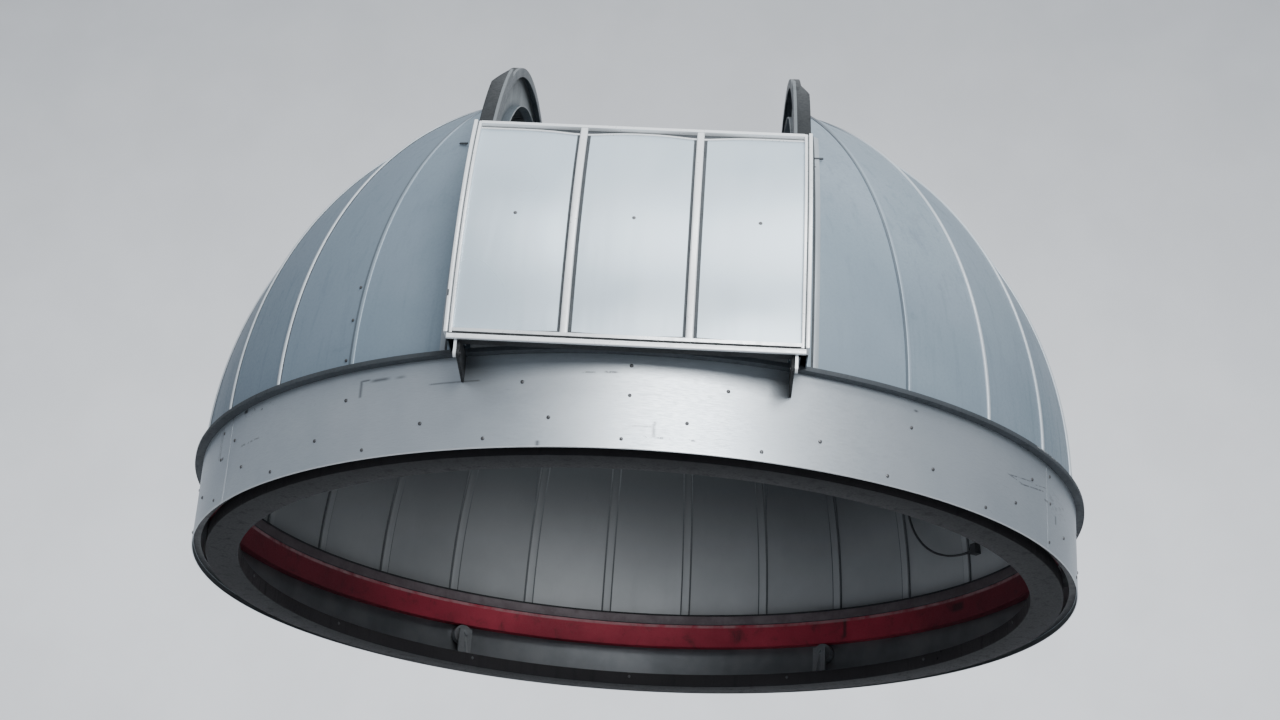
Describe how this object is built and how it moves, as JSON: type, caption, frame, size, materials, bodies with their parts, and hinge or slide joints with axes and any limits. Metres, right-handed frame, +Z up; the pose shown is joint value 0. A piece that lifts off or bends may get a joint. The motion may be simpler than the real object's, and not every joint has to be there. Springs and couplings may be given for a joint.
{
  "type": "rotating observatory dome",
  "caption": "Rotating hemispherical sheet metal observatory dome with a slit, arch girders, a hinged lower shutter, an upper shutter parked open, and a stationary base ring.",
  "frame": {"origin": "centre of the base ring's underside, on the dome's axis of rotation", "axes": "+Z up along the axis of rotation, the slit and the lower shutter face -Y, +X to the right of someone who stands in front and looks at the slit"},
  "size_m": [3.972, 4.17, 2.4386],
  "materials": {
    "shell_sheet": "weathered pale grey coated sheet",
    "skirt_sheet": "bare bright sheet with scuffs and scratches",
    "red_primer": "dull red primer, scuffed",
    "dark_ledge": "dull dark grey steel",
    "brown_ring": "dull dark brown coating",
    "roller_steel": "plain machined steel",
    "girder_steel": "slate grey coated steel",
    "shutter_frame": "bright silver white extruded bars",
    "shutter_sheet": "pale grey sheet, slightly glossy",
    "cable_black": "dull black cable sheath and plastic"
  },
  "bodies": {
    "base": {"base_ring_right": "brown_ring", "base_ring_rear": "brown_ring", "base_ring_left": "brown_ring", "roller_1": "roller_steel", "roller_2": "roller_steel", "roller_3": "roller_steel", "roller_4": "roller_steel", "roller_5": "roller_steel", "roller_6": "roller_steel"},
    "dome": {"skirt_front_right": "skirt_sheet", "skirt_right": "skirt_sheet", "skirt_rear_right": "skirt_sheet", "skirt_rear_left": "skirt_sheet", "skirt_left": "skirt_sheet", "skirt_front_left": "skirt_sheet", "track_ring_right": "red_primer", "track_ring_rear": "red_primer", "track_ring_left": "red_primer", "ledge_ring": "dark_ledge", "shell_right_1": "shell_sheet", "shell_right_2": "shell_sheet", "shell_right_3": "shell_sheet", "shell_right_4": "shell_sheet", "shell_right_5": "shell_sheet", "shell_left_1": "shell_sheet", "shell_left_2": "shell_sheet", "shell_left_3": "shell_sheet", "shell_left_4": "shell_sheet", "shell_left_5": "shell_sheet", "shell_rear_middle": "shell_sheet", "girder_right": "girder_steel", "girder_left": "girder_steel", "slit_header": "girder_steel", "hinge_lug_right": "dark_ledge", "hinge_lug_left": "dark_ledge", "upper_shutter_frame": "shutter_frame", "upper_shutter_skin": "shutter_sheet", "cable_junction_box": "cable_black", "cable_socket": "cable_black", "wall_cable": "cable_black"},
    "lower_shutter": {"lower_shutter_frame": "shutter_frame", "lower_shutter_skin": "shutter_sheet"}
  },
  "joints": [
    {"name": "dome_rotation", "type": "hinge", "parent": "base", "child": "dome", "pos_m": [0, 0, 0], "axis": [0, 0, 1], "continuous": true},
    {"name": "lower_shutter_hinge", "type": "hinge", "parent": "dome", "child": "lower_shutter", "pos_m": [0, -2.052, 0.305], "axis": [1, 0, 0], "range_deg": [0, 90]}
  ]
}
